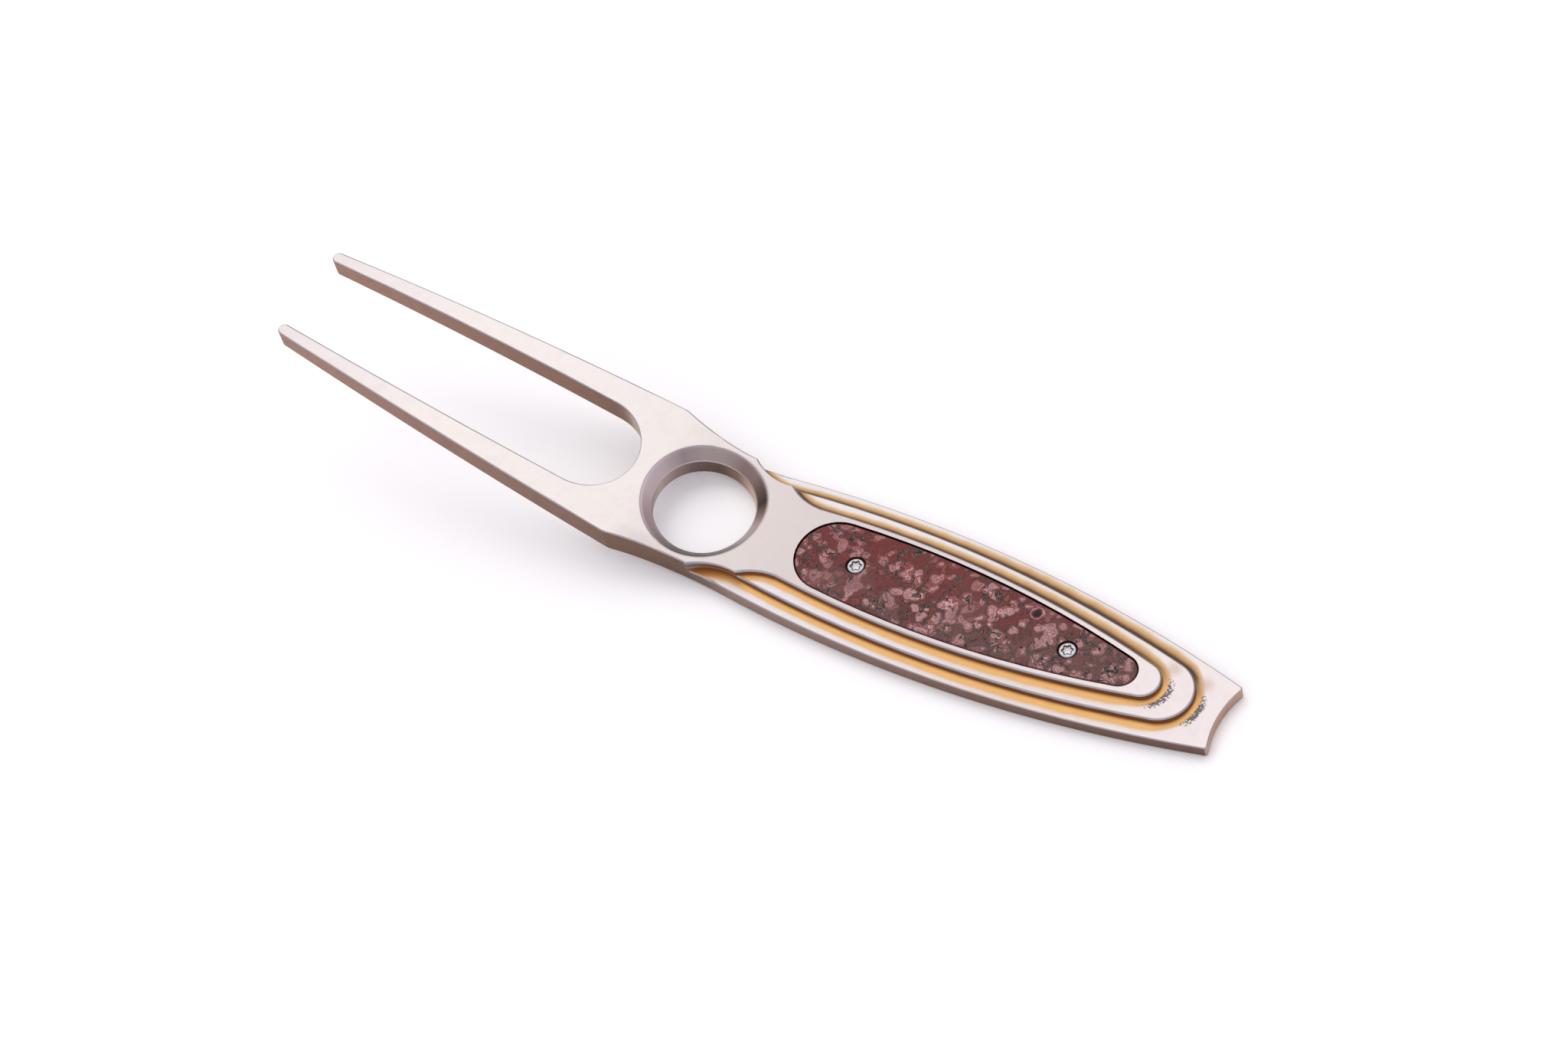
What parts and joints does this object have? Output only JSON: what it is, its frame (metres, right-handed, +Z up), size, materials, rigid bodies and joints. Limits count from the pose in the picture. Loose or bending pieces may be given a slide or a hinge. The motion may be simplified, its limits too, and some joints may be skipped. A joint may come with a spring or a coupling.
{
  "type": "divot repair tool",
  "caption": "Flat two-pronged fork with a countersunk ring at a shallow bend and a lens-shaped stepped handle with a stone inlay and small screws.",
  "frame": {"origin": "bottom centre of the tool's box, on the plane of the flat back that it rests on", "axes": "+X along the tool from the prongs towards the tail, +Y across it, +Z up, out of the inlaid top of the handle"},
  "size_m": [0.1384, 0.0216, 0.0195],
  "materials": {
    "blasted_titanium": "fine bead-blasted titanium, warm grey, heat-tinted gold on the ledges",
    "polished_stone": "polished red-brown stone with pale pink cells and dark veins",
    "dark_liner": "matt black",
    "bright_steel": "polished stainless steel"
  },
  "bodies": {
    "root": {"titanium_body": "blasted_titanium", "stone_inlay": "polished_stone", "inlay_liner": "dark_liner", "front_screw": "bright_steel", "rear_screw": "bright_steel"}
  },
  "joints": []
}
